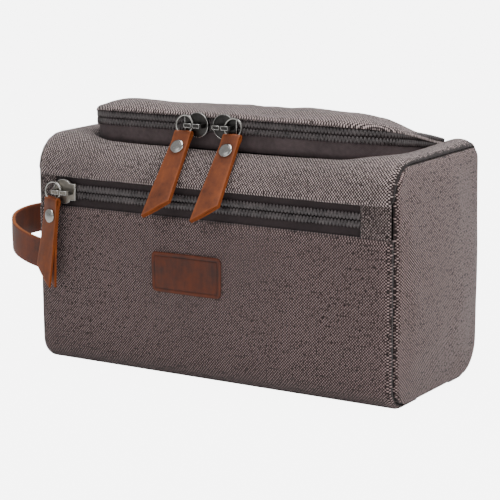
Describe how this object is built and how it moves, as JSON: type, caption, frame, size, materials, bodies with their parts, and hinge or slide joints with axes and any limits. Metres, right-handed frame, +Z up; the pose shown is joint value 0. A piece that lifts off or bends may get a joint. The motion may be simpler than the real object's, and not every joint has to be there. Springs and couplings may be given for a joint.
{
  "type": "shaving kit bag",
  "caption": "Boxy canvas shaving kit bag with a zipped lid, a zipped front pocket, leather zip pulls, a blank leather patch and a leather side handle.",
  "frame": {"origin": "centre of the bag's underside, between the end seams and between the front and back faces", "axes": "+Z up, +X along the bag to the end without a handle, -Y towards the front with the pocket"},
  "size_m": [0.3117, 0.133, 0.1648],
  "materials": {
    "canvas": "washed grey-brown cotton canvas, plain weave of light and dark threads, mottled",
    "lining": "thin dark grey nylon lining, smooth",
    "zip_tape": "fine dark twill tape, matte",
    "zip_coil": "dark nylon coil, satin",
    "slider_metal": "dark gunmetal plating, bright at the worn rims",
    "ring_metal": "dark gunmetal wire, satin",
    "rivet_metal": "polished nickel",
    "tab_leather": "oiled tan-brown leather, raw cut edges, darker towards the end",
    "patch_leather": "oiled brown leather, darker in the middle, lighter raw edge, stitched round",
    "strap_leather": "oiled tan-brown leather strap, light raw edges",
    "stiffener_board": "plain stiffener board"
  },
  "bodies": {
    "bag": {"front_panel": "canvas", "bottom_panel": "canvas", "back_panel": "canvas", "left_end_panel": "canvas", "right_end_panel": "canvas", "shoulder_panel": "canvas", "main_lining": "lining", "pocket_lining": "lining", "base_board": "stiffener_board", "main_zip_lower_coil": "zip_coil", "main_zip_lower_tape": "zip_tape", "pocket_zip_lower_coil": "zip_coil", "pocket_zip_upper_coil": "zip_coil", "pocket_zip_lower_tape": "zip_tape", "pocket_zip_upper_tape": "zip_tape", "pocket_end_tab_left": "canvas", "pocket_end_tab_right": "canvas", "front_patch": "patch_leather", "side_handle": "strap_leather"},
    "lid": {"lid_panel": "canvas", "lid_lining": "lining", "main_zip_upper_coil": "zip_coil", "main_zip_upper_tape": "zip_tape"},
    "main_left_slider": {"main_left_slider": "slider_metal"},
    "main_left_ring": {"main_left_ring": "ring_metal"},
    "main_left_tab": {"main_left_tab": "tab_leather", "main_left_rivet": "rivet_metal"},
    "main_right_slider": {"main_right_slider": "slider_metal"},
    "main_right_ring": {"main_right_ring": "ring_metal"},
    "main_right_tab": {"main_right_tab": "tab_leather", "main_right_rivet": "rivet_metal"},
    "pocket_slider": {"pocket_slider": "slider_metal"},
    "pocket_ring": {"pocket_ring": "ring_metal"},
    "pocket_tab": {"pocket_tab": "tab_leather", "pocket_rivet": "rivet_metal"}
  },
  "joints": [
    {"name": "lid_hinge", "type": "hinge", "parent": "bag", "child": "lid", "pos_m": [0, 0.0463, 0.1438], "axis": [-1, 0, 0], "range_deg": [0, 135]},
    {"name": "main_left_slider_travel", "type": "slide", "parent": "bag", "child": "main_left_slider", "axis": [1, 0, 0], "range_m": [-0.044, 0]},
    {"name": "main_left_ring_turn", "type": "hinge", "parent": "main_left_slider", "child": "main_left_ring", "pos_m": [-0.0192, -0.0401, 0.1563], "axis": [0, 0.1736, 0.9848], "range_deg": [0, 8]},
    {"name": "main_left_tab_swing", "type": "hinge", "parent": "main_left_ring", "child": "main_left_tab", "pos_m": [-0.025, -0.04111, 0.15059], "axis": [-1, 0, 0], "range_deg": [0, 80]},
    {"name": "main_right_slider_travel", "type": "slide", "parent": "bag", "child": "main_right_slider", "axis": [1, 0, 0], "range_m": [0, 0.059]},
    {"name": "main_right_ring_turn", "type": "hinge", "parent": "main_right_slider", "child": "main_right_ring", "pos_m": [0.0044, -0.0401, 0.1563], "axis": [0, -0.1736, -0.9848], "range_deg": [0, 8]},
    {"name": "main_right_tab_swing", "type": "hinge", "parent": "main_right_ring", "child": "main_right_tab", "pos_m": [0.0102, -0.04111, 0.15059], "axis": [-1, 0, 0], "range_deg": [0, 80]},
    {"name": "pocket_slider_travel", "type": "slide", "parent": "bag", "child": "pocket_slider", "axis": [1, 0, 0], "range_m": [0, 0.2]},
    {"name": "pocket_ring_turn", "type": "hinge", "parent": "pocket_slider", "child": "pocket_ring", "pos_m": [-0.106, -0.061, 0.111], "axis": [0, 0.1045, 0.9945], "range_deg": [0, 45]},
    {"name": "pocket_tab_swing", "type": "hinge", "parent": "pocket_ring", "child": "pocket_tab", "pos_m": [-0.1118, -0.06161, 0.10523], "axis": [-0.9613, 0.2741, -0.0288], "range_deg": [0, 80]}
  ]
}
